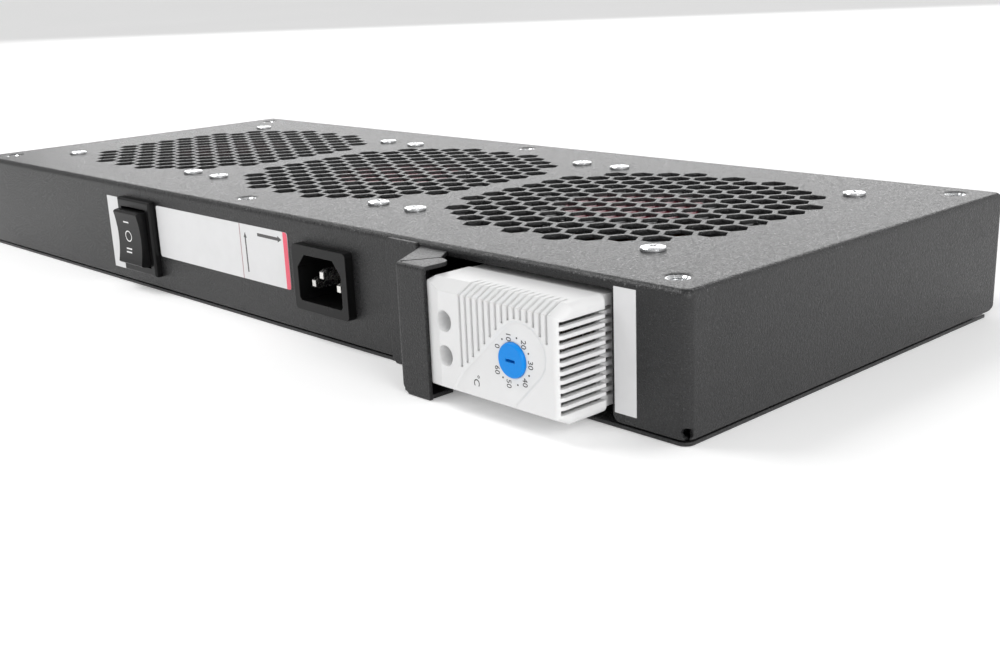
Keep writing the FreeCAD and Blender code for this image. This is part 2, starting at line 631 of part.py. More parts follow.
# rocker: profile across its width, face hollowed along a large arc
pts = []
for k in range(13):
    a = -1 + 2 * k / 12.0
    z = 10.2 * a
    y = -89.7 - 1.15 * a * a
    pts.append((y, SWZ.v + z))
prof = pts + [(-90.2, SWZ.v + 10.75), (-88.8, SWZ.v + 11.0), (-83.0, SWZ.v + 10.9), (-80.5, SWZ.v + 10.0), (-79.6, SWZ.v + 3.0),
              (-77.6, SWZ.v + 1.2), (-77.6, SWZ.v - 1.2), (-79.6, SWZ.v - 3.0), (-80.5, SWZ.v - 10.0),
              (-83.0, SWZ.v - 10.9), (-88.8, SWZ.v - 11.0), (-90.2, SWZ.v - 10.75)]
rb = plate("rocker_bar", [prof], "YZ_Plane", SWX - 9.2, 18.4)
node("switch_rocker", fuse("switch_rocker", [rb, cyl("rocker_pins", 1.5, 20.8, SWX - 10.4, RPY, SWZ, "x")]))
blade6 = new_body("switch_blade")
sk = new_sketch(blade6, "switch_blade_profile", "XZ_Plane", 60.6)
rect(sk, -3.15, -0.4, 3.15, 0.4)
blade6.Tip = pad(blade6, "switch_blade_pad", sk, 74.6 - 60.6)
many("switch_terminals", blade6, [(SWX.v + dx, 0, SWZ.v + dz) for dx in (-5, 5) for dz in (-9, 0, 9)])
arm = plate("switch_arm", [[(-76.4, -6.6), (-75.7, -6.6), (-75.0, -9.6), (-74.62, -9.6), (-74.62, -9.0), (-75.2, -6.0), (-75.6, 0),
                            (-75.2, 6.0), (-74.62, 9.0), (-74.62, 9.6), (-75.0, 9.6), (-75.7, 6.6), (-76.4, 0.0)]],
            "YZ_Plane", -1.5, 3.0)
many("switch_contact_arms", arm, [(SWX.v + dx, 0, SWZ.v) for dx in (-5, 5)])

# ---- mains inlet -----------------------------------------------------------
ib = fuse("inlet_blank", [
    box("inlet_bezel", INX - 15.0, INX + 15.0, YF - IBF, YF - 0.02, INZ - 11.4, INZ + 11.4),
    box("inlet_case", INX - 13.5, INX + 13.5, YF - 1, q(-67), INZ - 10, INZ + 10)])
fi = doc.addObject("Part::Fillet", "inlet_eased")
doc.recompute()
fi.Base = ib
fi.Edges = [(i + 1, 1.6, 1.6) for i, e in enumerate(ib.Shape.Edges)
            if len(e.Vertexes) == 2 and abs(e.Vertexes[0].Point.y - e.Vertexes[1].Point.y) > 1.0
            and max(v.Point.y for v in e.Vertexes) < YF.v and abs(e.Vertexes[0].Point.x - e.Vertexes[1].Point.x) < 1e-6]
well = plate("inlet_well", [[(INX.v - 12.1, INZ.v - 7.0), (INX.v - 11.1, INZ.v - 8.0), (INX.v + 11.1, INZ.v - 8.0),
                             (INX.v + 12.1, INZ.v - 7.0), (INX.v + 12.1, INZ.v + 3.6), (INX.v + 7.9, INZ.v + 8.2),
                             (INX.v - 7.9, INZ.v + 8.2), (INX.v - 12.1, INZ.v + 3.6)]],
             "XZ_Plane", q(70.0), 18.0)
PINS = [(-7.0, -2.0), (0.0, 2.0), (7.0, -2.0)]
node("inlet_body", cut("inlet_body", fi, [well] + [
    box("inlet_pin_slot%d" % i, INX + dx - 1.0, INX + dx + 1.0, q(-71), q(-66), INZ + dz - 2.0, INZ + dz + 2.0)
    for i, (dx, dz) in enumerate(PINS)]))
pins = []
for nm, tip in (("line", -84.6), ("earth", -86.2)):
    pin = new_body("inlet_pin_" + nm)
    sk = new_sketch(pin, "inlet_pin_profile_" + nm, "YZ_Plane", -1.0)
    loops(sk, [[(tip, -1.1), (tip + 1.4, -1.9), (-66.8, -1.9), (-66.8, -1.5), (-60.8, -1.5), (-60.8, 1.5), (-66.8, 1.5),
                (-66.8, 1.9), (tip + 1.4, 1.9), (tip, 1.1)]])
    pin.Tip = pad(pin, "inlet_pin_pad_" + nm, sk, 1.98)
    pins.append(pin)
doc.recompute()
out = []
for k, (dx, dz) in enumerate(PINS):
    c = pins[k % 2].Shape.copy()
    c.Placement = FreeCAD.Placement(V(INX.v + dx, 0, INZ.v + dz), FreeCAD.Rotation())
    out.append(c)
node("inlet_pins", feature("inlet_pins", Part.makeCompound(out)))

# ---- labels: plain thin plates ---------------------------------------------
rl = box("rating_blank", q(-49.1), q(40.7), YF - 0.2, YF, q(14.8), q(35.1))
doc.recompute()
fr = doc.addObject("Part::Fillet", "rating_label")
fr.Base = rl
fr.Edges = [(i + 1, 1.2, 1.2) for i, e in enumerate(rl.Shape.Edges)
            if abs(e.Vertexes[0].Point.y - e.Vertexes[1].Point.y) > 0.1]
node("rating_label", fr)
node("switch_label", box("switch_label", q(-89.3), SWX - 12.82, YF - 0.2, YF, q(5.4), q(35.3)))
node("serial_label", box("serial_label", q(190.5), q(198.1), YF - 0.2, YF, q(4.3), q(39.3)))

# ---- thermostat ------------------------------------------------------------
x0, x1, z0, z1, yf, yp = THX0.v, THX1.v, THZ0.v, THZ1.v, THYF.v, THP.v
cov = new_body("cover_body")
sk = new_sketch(cov, "cover_section", "YZ_Plane", THX0)
loops(sk, [[(yp, z0), (yf + 5.0, z0), (yf, z0 + 2.4), (yf, z1 - 2.4), (yf + 5.0, z1), (yp, z1)]])
f = pad(cov, "cover_pad", sk, THX1 - THX0)
sk = new_sketch(cov, "cover_end_bevel", "XY_Plane", THZ0 - 1)
loops(sk, [[(x0 + 8.6, yf), (x0, yf + 3.2), (x0 - 2.0, yf + 3.2), (x0 - 2.0, yf - 2.0), (x0 + 8.6, yf - 2.0)]])
f = pocket(cov, "cover_bevel", sk, THZ1 - THZ0 + 2, True)
f = fillet(cov, "cover_round", f, 2.2,
           lambda e: len(e.Vertexes) == 2 and all(abs(v.Point.x - x1) < 1e-6 for v in e.Vertexes)
           and not all(abs(v.Point.y - yp) < 1e-6 for v in e.Vertexes))
cov.Tip = f
tools = []
cz = (z0 + z1) / 2
# cavity behind the front wall
tools.append(plate("cover_cavity", [[(yp + 1, z0 + 1.6), (yf + 5.4, z0 + 1.6), (yf + 1.9, z0 + 3.3), (yf + 1.9, z1 - 3.3),
                                     (yf + 5.4, z1 - 1.6), (yp + 1, z1 - 1.6)]], "YZ_Plane", q(150.4), THX1 - 1.6 - 150.4))
# eleven vent slots in the right-hand end
for i in range(11):
    zc = 8.6 + 2.4 * i
    tools.append(box("vent%d" % i, THX1 - 2.7, THX1 + 1, yf + 0.9, yp + 1, q(zc - 0.65), q(zc + 0.65)))
# the dial area lies 0.4 lower than the face, inside a sloped step
dial = [(147.3, 5.6), (147.3, 7.0), (151.9, 13.4), (156.5, 17.6), (161.2, 22.0), (165.8, 26.3), (168.4, 28.7), (171.2, 30.6), (174.2, 31.4),
        (177.2, 31.1), (180.2, 29.9), (182.6, 27.9), (184.2, 25.4), (184.8, 22.5), (184.3, 19.6), (182.6, 16.8),
        (178.0, 12.2), (173.2, 7.4), (173.2, 5.6)]


def inset(poly, d):
    """The same polygon with every corner but the two lowest pairs moved in by d."""
    n, out_ = len(poly), []
    for k, (px_, pz_) in enumerate(poly):
        (ax_, az_), (bx_, bz_) = poly[k - 1], poly[(k + 1) % n]
        tx, tz = bx_ - ax_, bz_ - az_
        t_ = math.hypot(tx, tz)
        nx_, nz_ = tz / t_, -tx / t_
        if k in (0, n - 1):
            nx_, nz_ = (1.0, 0.0) if k == 0 else (-1.0, 0.0)
        out_.append((px_ + nx_ * d, pz_ + nz_ * d))
    return out_


rings = [Part.makePolygon([V(a_, yy, b_) for a_, b_ in pl + pl[:1]])
         for pl, yy in ((inset(dial, -0.7), yf - 0.4), (inset(dial, 0.7), yf + 0.4))]
step = Part.makeLoft(rings, True, True)
print("dial recess", round(step.Volume, 1), step.isValid())
tools.append(feature("dial_recess", step))
# eased upper and lower edges at the left end
for nm, zz, sg in (("top", z1, 1), ("low", z0, -1)):
    tools.append(plate("cover_ease_" + nm, [[(x0 - 0.6, zz - sg * 3.0), (x0 + 3.0, zz + sg * 0.6), (x0 - 0.6, zz + sg * 0.6)]],
                       "XZ_Plane", q(80.0), 30.0))
# fifteen grooves over the face and both bevels; they stop at the smooth dial area
ends = [14.1, 15.7, 17.9, 20.1, 22.5, 24.9, 27.4, 29.6, 30.8, 31.6, 31.7, 31.4, 30.5, 28.4, 26.8]
for i, ze in enumerate(ends):
    gx = 151.6 + 2.386 * i
    up = [(yf - 1, ze), (yf + 0.75, ze), (yf + 0.75, z1 - 2.85), (yf + 5.2, z1 - 0.72), (yf + 9.0, z1 + 0.0), (yf + 9.0, z1 + 1),
          (yf - 1, z1 + 1)]
    tools.append(plate("groove_up%d" % i, [up], "YZ_Plane", gx - 0.45, 0.9))
    dn = [(yf + 0.02, z0 + 2.3), (yf + 5.2, z0 + 0.72), (yf + 9.0, z0), (yf + 9.0, z0 - 1), (yf - 1, z0 - 1), (yf - 1, z0 + 2.3)]
    tools.append(plate("groove_dn%d" % i, [dn], "YZ_Plane", gx - 0.45, 0.9))
# two funnels over the terminal screws, with pockets and wire entries behind
TZ = [26.1, 16.0]
for i, tz in enumerate(TZ):
    tools.append(cone("funnel%d" % i, 3.1, 2.3, 5.0, q(144.8), yf - 0.4, q(tz), "y"))
    tools.append(cyl("funnel_hole%d" % i, 2.3, 10.0, q(144.8), yf + 4.0, q(tz), "y"))
    tools.append(box("cage_pocket%d" % i, q(140.4), q(149.2), q(-94.4), yp + 1, q(tz - 3.9), q(tz + 3.9)))
    tools.append(cyl("wire_entry%d" % i, 1.7, 8.0, THX0 - 1, q(-90.0), q(tz), "x"))
tools.append(cyl("knob_hole", KNR + 0.06, 4.0, KNX, yf - 1, KNZ, "y"))
node("thermostat_cover", cut("thermostat_cover", cov, tools))

# base half, with two hooks over the rail's edges
RX0, RX1 = 144.1, 179.1
hooks = []
for sgn, xe in ((-1, RX0), (1, RX1)):
    a, b = (xe - 2.6, xe - 0.1) if sgn < 0 else (xe + 0.1, xe + 2.6)
    c, d = (xe - 2.6, xe + 1.9) if sgn < 0 else (xe - 1.9, xe + 2.6)
    hooks.append(box("hook_leg%d" % (sgn + 1), q(a), q(b), q(-70), q(-66.6), q(12), q(30)))
    hooks.append(box("hook_lip%d" % (sgn + 1), q(c), q(d), q(-68.38), q(-66.6), q(12), q(30)))
bb = fuse("th_base_blank", [box("th_base_block", THX0 + 0.8, THBX, THP + 0.02, q(-69.42), THZ0 + 0.8, THZ1 - 0.8)] + hooks)
node("thermostat_base", cut("thermostat_base", bb, [
    box("th_base_cavity", q(150.4), THBX - 1.6, THP - 1, q(-71.5), THZ0 + 2.4, THZ1 - 2.4)] + [
    box("th_base_vent%d" % i, THBX - 2.4, THBX + 1, THP - 1, q(-80.0), q(8.6 + 2.4 * i - 0.55), q(8.6 + 2.4 * i + 0.55))
    for i in range(11)]))

# dial knob: disc with a screwdriver slot, on its own spindle
kn = new_body("knob_body")
sk = new_sketch(kn, "knob_disc", "XZ_Plane", -(THYF + 2.4))
loops(sk, [(KNX.v, KNZ.v, KNR.v)])
f = pad(kn, "knob_pad", sk, q(3.2))
f = fillet(kn, "knob_edge", f, 0.7, lambda e: abs(e.CenterOfMass.y - (THYF.v - 0.8)) < 1e-3)
sk = new_sketch(kn, "knob_slot", "XZ_Plane", -(THYF - 1.0))
rect(sk, KNX - 1.8, KNZ - 0.42, KNX + 1.8, KNZ + 0.42)
f = pocket(kn, "knob_slot_cut", sk, 1.6)
kn.Tip = f
node("thermostat_knob", kn)
node("thermostat_spindle", fuse("thermostat_spindle", [
    cyl("spindle_rod", 2.0, 16.5, KNX, THYF + 2.42, KNZ, "y"),
    cyl("spindle_cam", 3.4, 2.0, KNX, q(-87.6), KNZ, "y")]))
node("thermostat_bushing", cut("thermostat_bushing", fuse("bushing_blank", [
    cyl("bushing_ring", 3.6, 4.0, KNX, q(-99.0), KNZ, "y"),
    box("bushing_web", KNX - 8.0, KNX + 8.0, q(-97.4), q(-95.4), THZ0 + 1.62, THZ1 - 1.62)]),
    [cyl("bushing_bore", 2.03, 6.0, KNX, q(-100), KNZ, "y")]))
# bimetal strip, snap contact and the two terminal cages with their screws
node("thermostat_bimetal", plate("thermostat_bimetal", [[(153.0, -80.6), (153.0, -71.52), (154.0, -71.52), (154.0, -79.9), (178.0, -78.2),
                                                         (178.0, -79.0), (154.0, -80.6)]], "XY_Plane", q(16.0), 8.0))
node("thermostat_contact", plate("thermostat_contact", [[(152.0, -91.5), (152.0, -90.9), (168.0, -90.2), (168.0, -91.0), (160.0, -91.4)]],
                                 "XY_Plane", q(14.5), 3.0))
cage = new_body("terminal_cage")
sk = new_sketch(cage, "cage_outline", "YZ_Plane", 141.0)
rect(sk, -93.9, -3.5, -86.2, 3.5)
f = pad(cage, "cage_pad", sk, 7.8)
sk = new_sketch(cage, "cage_mouth", "YZ_Plane", 140.0)
rect(sk, -91.7, -1.9, -88.3, 1.9)
f = pocket(cage, "cage_hole", sk, 5.6, True)
cage.Tip = f
cage = cut("cage_cut", cage, [cyl("cage_screw_hole", 1.36, 3.4, q(144.8), q(-95.0), q(0), "y")])
many("thermostat_terminals", cage, [(0, 0, z) for z in TZ])
ts = turned("cage_screw", [(0, 0), (2.15, 0), (2.15, 1.6), (1.3, 1.6), (1.3, 3.6), (0, 3.6)])
sk = new_sketch(ts, "cage_screw_slot")
rect(sk, -2.5, -0.3, 2.5, 0.3)
ts.Tip = pocket(ts, "cage_screw_slot_cut", sk, 0.8, True)
many("thermostat_screws", ts, [(144.8, -95.52, z, FreeCAD.Rotation(V(1, 0, 0), -90)) for z in TZ])

# rail, its bracket and rivets
node("din_rail", cut("din_rail", plate("rail_profile", [[(RX0, -69.4), (149.6, -69.4), (149.6, -62.9), (173.6, -62.9), (173.6, -69.4), (RX1, -69.4),
                                     (RX1, -68.4), (174.6, -68.4), (174.6, -61.9), (148.6, -61.9), (148.6, -68.4), (RX0, -68.4)]],
                       "XY_Plane", q(4.5), 32.0), [cyl("rail_hole%d" % i, 2.0, 4, q(161.6), q(-65), q(z), "y")
                                                   for i, z in enumerate((12.0, 29.0))]))
br = fuse("bracket_blank", [box("bracket_up", q(147.0), q(176.2), q(-61.88), q(-60.9), TB + 0.02, q(38.0)),
                            box("bracket_foot", q(147.0), q(176.2), q(-79.0), q(-60.9), TB + 0.02, TB + 1.0)])
node("rail_bracket", cut("rail_bracket", br, [cyl("bracket_hole%d" % i, 2.0, 4, q(161.6), q(-64), q(z), "y")
                                              for i, z in enumerate((12.0, 29.0))]))
rv = turned("rail_rivet", [(0, 0), (3.2, 0.5), (3.2, 0.98), (1.98, 1.0), (1.98, 2.98), (2.6, 3.02), (2.4, 3.5), (0, 3.55)])
many("rail_rivets", rv, [(161.6, -63.9, z, FreeCAD.Rotation(V(1, 0, 0), -90)) for z in (12.0, 29.0)])

# ---- terminal block, earth stud and wiring ---------------------------------
tb = box("block_bar", q(8.0), q(38.0), q(-80.0), q(-68.0), Z0 + TS, q(12.0))
holes = []
for i in range(5):
    cx_ = 11.0 + 6.0 * i
    holes.append(cyl("block_screw_hole%d" % i, 1.9, 8.0, q(cx_), q(-74.0), q(5.0)))
    holes.append(cyl("block_wire_hole%d" % i, 1.25, 20.0, q(cx_), q(-81.0), q(6.4), "y"))
node("terminal_block", cut("terminal_block", tb, holes))
bs = turned("block_screw", [(0, 0), (1.86, 0), (1.86, 3.0), (0, 3.0)])
sk = new_sketch(bs, "block_screw_cut", "XY_Plane", 3.0)
rect(sk, -2.5, -0.3, 2.5, 0.3)
bs.Tip = pocket(bs, "block_screw_slot", sk, 0.8)
many("block_screws", bs, [(11.0 + 6.0 * i, -74.0, 7.9) for i in range(5)])
node("earth_stud", cyl("earth_stud", 2.0, 9.2, q(90.0), q(-77.0), Z0 + TS))
en = new_body("earth_nut")
sk = new_sketch(en, "earth_nut_profile", "XY_Plane", 2.85)
loops(sk, [hexagon(90.0, -77.0, 7.0), (90.0, -77.0, 2.02)])
en.Tip = pad(en, "earth_nut_pad", sk, 3.2)
node("earth_nut", en)


def tube(points, r, bend):
    """A round wire: straight runs joined by tangent arcs, one solid."""
    p = [V(*a) for a in points]
    edges = []
    last = p[0]
    for i in range(1, len(p) - 1):
        a = (p[i - 1] - p[i])
        b = (p[i + 1] - p[i])
        la, lb = a.Length, b.Length
        if a.getAngle(b) > math.pi - 1e-4:
            continue
        a.normalize()
        b.normalize()
        half = math.acos(max(-1.0, min(1.0, a.dot(b)))) / 2.0
        cutb = min(bend / math.tan(half), 0.45 * la, 0.45 * lb)
        rad = cutb * math.tan(half)
        s_, e_ = p[i] + a * cutb, p[i] + b * cutb
        bis = (a + b)
        bis.normalize()
        mid = p[i] + bis * (rad / math.sin(half) - rad)
        edges.append(Part.LineSegment(last, s_).toShape())
        edges.append(Part.Arc(s_, mid, e_).toShape())
        last = e_
    edges.append(Part.LineSegment(last, p[-1]).toShape())
    path = Part.Wire(edges)
    d = p[1] - p[0]
    ring = Part.Wire([Part.makeCircle(r, p[0], d)])
    t = path.makePipeShell([ring], True, False)
    want = math.pi * r * r * path.Length
    print("wire", round(path.Length, 1), "mm, volume ratio", round(t.Volume / want, 4), t.isValid())
    return t




def wires(label, routes):
    return node(label, feature(label, Part.makeCompound([tube(rt, WIRE.v, 3.0) for rt in routes])))


# live and neutral from the inlet to the switch, over the top of both cases
wires("feed_wires", [
    [(55.3, -62.4, 21.2), (55.3, -62.4, 28.0), (53.6, -62.4, 34.6), (48.0, -62.4, 38.1), (20.0, -62.4, 38.3), (-20.0, -62.5, 38.2),
     (-50.0, -62.6, 38.2), (-56.0, -62.8, 36.6), (-57.9, -62.9, 33.6), (-57.9, -62.9, 30.8)],
    [(69.3, -62.6, 21.2), (69.3, -62.8, 28.0), (67.6, -64.4, 34.6), (62.0, -65.4, 38.1), (30.0, -65.5, 38.3), (-20.0, -65.4, 38.2),
     (-60.0, -65.2, 38.2), (-66.4, -64.4, 36.8), (-67.9, -63.0, 33.6), (-67.9, -62.8, 30.8)]])

# from the switch and the block to the thermostat's two terminals, through the notch
wires("thermostat_wires", [
    [(-57.9, -62.4, 11.8), (-57.9, -62.6, 9.0), (-54.0, -66.0, 4.8), (-30.0, -66.4, 4.2), (-4.0, -65.9, 4.4), (30.0, -63.9, 4.2),
     (70.0, -63.6, 4.2), (100.0, -66.0, 5.0), (113.0, -76.0, 8.0), (121.0, -86.5, 12.0), (127.0, -90.0, 15.4), (133.0, -90.0, 16.0),
     (140.8, -90.0, 16.0)],
    [(35.0, -67.9, 6.4), (35.0, -66.6, 6.4), (38.4, -65.4, 7.6), (60.0, -64.2, 9.0), (98.0, -64.4, 9.6), (112.0, -74.0, 16.0),
     (120.0, -86.0, 23.0), (127.0, -90.0, 25.8), (133.0, -90.0, 26.1), (140.8, -90.0, 26.1)]])
# the fans' leads, from each frame's front flange to the block
wires("fan_leads", [
    [(-66.8, -60.5, 35.2), (-62.6, -60.5, 35.0), (-50.0, -60.6, 34.2), (-20.0, -60.9, 32.0), (0.0, -62.0, 22.0), (10.0, -64.4, 8.4),
     (11.0, -66.2, 6.4), (11.0, -67.9, 6.4)],
    [(56.0, -60.8, 7.4), (40.0, -60.9, 7.6), (20.0, -61.4, 7.8), (17.0, -64.4, 6.8), (17.0, -67.9, 6.4)],
    [(67.0, -60.8, 12.4), (50.0, -61.0, 12.6), (28.0, -61.6, 11.0), (23.2, -64.4, 7.4), (23.0, -66.4, 6.4), (23.0, -67.9, 6.4)]])
wires("earth_wire", [
    [(62.3, -62.4, 22.0), (62.3, -62.4, 17.6), (66.0, -63.4, 15.4), (78.0, -66.6, 16.0), (86.0, -72.4, 18.4), (90.0, -77.0, 17.6),
     (90.0, -77.0, 14.6), (90.0, -77.0, 12.02)]])

doc.recompute()
bad = []
for o in doc.Objects:
    st = [x for x in o.State if x in ("Invalid", "Error")]
    if st:
        bad.append((o.Name, o.Label, st))
for label, o in nodes.items():
    if o.Shape.isNull() or not o.Shape.isValid() or o.Shape.Volume <= 0:
        bad.append((label, "shape"))
if bad:
    raise RuntimeError("failed objects: %s" % bad)
os.makedirs("parts", exist_ok=True)
for label, o in nodes.items():
    o.Shape.exportStep("parts/%s.step" % label)
    bb = o.Shape.BoundBox
    print("%-24s solids %2d  volume %9.1f  x %7.2f %7.2f  y %7.2f %7.2f  z %6.2f %6.2f" % (
        label, len(o.Shape.Solids), o.Shape.Volume, bb.XMin, bb.XMax, bb.YMin, bb.YMax, bb.ZMin, bb.ZMax))
print(len(nodes), "nodes")
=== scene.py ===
import bpy, bmesh, json, math
from mathutils import Vector, Matrix


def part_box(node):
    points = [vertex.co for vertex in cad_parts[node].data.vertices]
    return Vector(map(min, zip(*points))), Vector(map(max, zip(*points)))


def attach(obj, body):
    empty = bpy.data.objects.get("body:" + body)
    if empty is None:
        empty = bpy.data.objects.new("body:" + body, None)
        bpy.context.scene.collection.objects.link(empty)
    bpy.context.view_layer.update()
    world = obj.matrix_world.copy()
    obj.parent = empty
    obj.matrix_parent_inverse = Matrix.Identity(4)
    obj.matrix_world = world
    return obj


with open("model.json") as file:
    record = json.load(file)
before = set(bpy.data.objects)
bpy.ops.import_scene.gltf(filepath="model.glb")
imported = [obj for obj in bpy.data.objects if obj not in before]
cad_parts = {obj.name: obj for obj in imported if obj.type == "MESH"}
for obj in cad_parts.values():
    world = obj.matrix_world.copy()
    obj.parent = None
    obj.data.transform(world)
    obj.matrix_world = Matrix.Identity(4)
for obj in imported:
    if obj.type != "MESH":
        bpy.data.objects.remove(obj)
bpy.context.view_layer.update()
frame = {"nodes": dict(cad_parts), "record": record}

N = frame["nodes"]
scene = bpy.context.scene
MM = 0.001

# ------------------------------------------------------------------ camera
cam_data = bpy.data.cameras.new("camera")
cam = bpy.data.objects.new("camera", cam_data)
scene.collection.objects.link(cam)
az, el, roll = math.radians(-47.049), math.radians(-17.535), math.radians(-2.359)
fwd = Vector((math.cos(el) * math.sin(az), math.cos(el) * math.cos(az), math.sin(el)))
right = fwd.cross(Vector((0, 0, 1))).normalized()
up = right.cross(fwd)
r2 = right * math.cos(roll) + up * math.sin(roll)
u2 = -right * math.sin(roll) + up * math.cos(roll)
m = Matrix((r2, u2, -fwd)).transposed().to_4x4()
m.translation = Vector((408.24, -327.95, 121.51)) * MM
cam.matrix_world = m
cam_data.sensor_width = 36.0
cam_data.lens = 36.0 * 1282.2 / 1000.0
cam_data.shift_x = -(501.4 - 500.0) / 1000.0
cam_data.shift_y = (365.8 - 333.0) / 1000.0
cam_data.clip_start = 0.01
cam_data.clip_end = 60.0
scene.camera = cam

# --------------------------------------------------------------- materials


class Mat:
    """A small builder for node materials in object coordinates (metres)."""

    def __init__(self, name):
        self.m = bpy.data.materials.new(name)
        self.m.use_nodes = True
        self.t = self.m.node_tree
        self.p = self.t.nodes["Principled BSDF"]
        self.co = self.t.nodes.new("ShaderNodeTexCoord").outputs["Object"]

    def node(self, kind, **kw):
        n = self.t.nodes.new(kind)
        for k, v in kw.items():
            setattr(n, k, v)
        return n

    def link(self, a, b):
        self.t.links.new(a, b)

    def noise(self, scale, detail=2.0, rough=0.5, stretch=None):
        n = self.node("ShaderNodeTexNoise")
        n.inputs["Scale"].default_value = scale
        n.inputs["Detail"].default_value = detail
        n.inputs["Roughness"].default_value = rough
        if stretch:
            mp = self.node("ShaderNodeMapping")
            mp.inputs["Scale"].default_value = stretch
            self.link(self.co, mp.inputs["Vector"])
            self.link(mp.outputs["Vector"], n.inputs["Vector"])
        else:
            self.link(self.co, n.inputs["Vector"])
        return n.outputs["Fac"]

    def ramp(self, fac, stops):
        r = self.node("ShaderNodeValToRGB")
        cr = r.color_ramp
        cr.elements[0].position, cr.elements[0].color = stops[0][0], (*stops[0][1], 1)
        cr.elements[1].position, cr.elements[1].color = stops[-1][0], (*stops[-1][1], 1)
        for pos, col in stops[1:-1]:
            e = cr.elements.new(pos)
            e.color = (*col, 1)
        self.link(fac, r.inputs["Fac"])
        return r.outputs["Color"]

    def range(self, fac, a, b, lo, hi):
        r = self.node("ShaderNodeMapRange")
        r.inputs["From Min"].default_value = a
        r.inputs["From Max"].default_value = b
        r.inputs["To Min"].default_value = lo
        r.inputs["To Max"].default_value = hi
        self.link(fac, r.inputs["Value"])
        return r.outputs["Result"]

    def mix(self, fac, a, b):
        x = self.node("ShaderNodeMix", data_type="RGBA")
        self.link(fac, x.inputs["Factor"])
        for s, v in ((6, a), (7, b)):
            if hasattr(v, "links"):
                self.link(v, x.inputs[s])
            else:
                x.inputs[s].default_value = (*v, 1)
        return x.outputs[2]

    def math(self, op, a, b=None, clamp=False):
        n = self.node("ShaderNodeMath", operation=op, use_clamp=clamp)
        for i, v in enumerate((a, b)):
            if v is None:
                continue
            if hasattr(v, "links"):
                self.link(v, n.inputs[i])
            else:
                n.inputs[i].default_value = v
        return n.outputs[0]

    def axis(self, k):
        s = self.node("ShaderNodeSeparateXYZ")
        self.link(self.co, s.inputs[0])
        return s.outputs[k]

    def color(self, c):
        if hasattr(c, "links"):
            self.link(c, self.p.inputs["Base Color"])
        else:
            self.p.inputs["Base Color"].default_value = (*c, 1)
        return self

    def rough(self, v):
        self.link(v, self.p.inputs["Roughness"])
        return self

    def surface(self, heights, edge=None):
        """heights: (fac, distance in m, strength) from coarse to fine; edge: radius of softened edges in m."""
        normal = None
        if edge:
            b = self.node("ShaderNodeBevel", samples=4)
            b.inputs["Radius"].default_value = edge
            normal = b.outputs["Normal"]
        for fac, dist, strength in heights:
            b = self.node("ShaderNodeBump")
            b.inputs["Strength"].default_value = strength
            b.inputs["Distance"].default_value = dist
            self.link(fac, b.inputs["Height"])
            if normal is not None:
                self.link(normal, b.inputs["Normal"])
            normal = b.outputs["Normal"]
        self.link(normal, self.p.inputs["Normal"])
        return self


def powder_black():
    M = Mat("powder_black")
    fine, mid, big = M.noise(3200, 1.5, 0.6), M.noise(1700, 2.0, 0.6), M.noise(14, 3.0)
    base = M.ramp(big, [(0.3, (0.010, 0.010, 0.0105)), (0.7, (0.015, 0.015, 0.0155))])
    # painted glints: light grey specks in the base colour stand in for the sparkle of light on the orange-peel coat
    sparkle_glint_specks = M.range(M.noise(3300, 1.0, 0.4), 0.62, 0.70, 0.0, 0.5)
    base = M.mix(sparkle_glint_specks, base, (0.075, 0.075, 0.077))
    # painted highlight: light grey specks along the top bends stand in for the speckled reflection on the rounded bend
    band = M.range(M.math("ABSOLUTE", M.math("SUBTRACT", M.axis(2), 0.0405)), 0.0, 0.0011, 1.0, 0.0)
    bend_highlight_specks = M.range(M.noise(1500, 4.0, 0.75), 0.60, 0.70, 0.0, 0.8)
    base = M.mix(M.math("MULTIPLY", band, bend_highlight_specks), base, (0.30, 0.30, 0.30))
    M.color(base)
    M.rough(M.range(mid, 0.35, 0.65, 0.24, 0.46))
    M.p.inputs["Specular IOR Level"].default_value = 0.40
    return M.surface([(mid, 0.00017, 1.0), (fine, 0.00005, 0.8)], edge=0.0006).m


def black_plastic(name, tone=0.022, rough=(0.33, 0.45), edge=0.0003, spec=0.5):
    M = Mat(name)
    fine, big = M.noise(3200, 1.0, 0.5), M.noise(60, 3.0)
    M.color(M.ramp(big, [(0.3, (tone * 0.85, tone * 0.85, tone * 0.88)), (0.7, (tone * 1.2, tone * 1.2, tone * 1.22))]))
    M.rough(M.range(big, 0.3, 0.7, *rough))
    M.p.inputs["Specular IOR Level"].default_value = spec
    return M.surface([(fine, 0.00003, 0.4)], edge=edge).m


def metal(name, col, rough, scale=900, stretch=None, edge=0.00015, bump=0.25):
    M = Mat(name)
    n1, n2 = M.noise(scale, 3.0, 0.6, stretch), M.noise(120, 3.0)
    M.color(M.ramp(n2, [(0.3, tuple(c * 0.86 for c in col)), (0.7, col)]))
    M.rough(M.range(n1, 0.3, 0.7, *rough))
    M.p.inputs["Metallic"].default_value = 1.0
    return M.surface([(n1, 0.00002, bump)], edge=edge).m


def plastic(name, col, rough=(0.36, 0.46), edge=0.0005, grain=2600, spec=0.5, var=0.05):
    M = Mat(name)
    fine, big = M.noise(grain, 1.0, 0.5), M.noise(45, 3.0)
    M.color(M.ramp(big, [(0.3, tuple(c * (1 - var) for c in col)), (0.7, col)]))
    M.rough(M.range(big, 0.3, 0.7, *rough))
    M.p.inputs["Specular IOR Level"].default_value = spec
    return M.surface([(fine, 0.00003, 0.35)], edge=edge).m


def paper(name, col, rough=(0.30, 0.42)):
    M = Mat(name)
    fine, big = M.noise(5200, 3.0, 0.6), M.noise(160, 4.0)
    M.color(M.ramp(big, [(0.3, tuple(c * 0.96 for c in col)), (0.7, col)]))
    M.rough(M.range(fine, 0.3, 0.7, *rough))
    return M.surface([(big, 0.00006, 0.25), (fine, 0.00001, 0.3)]).m


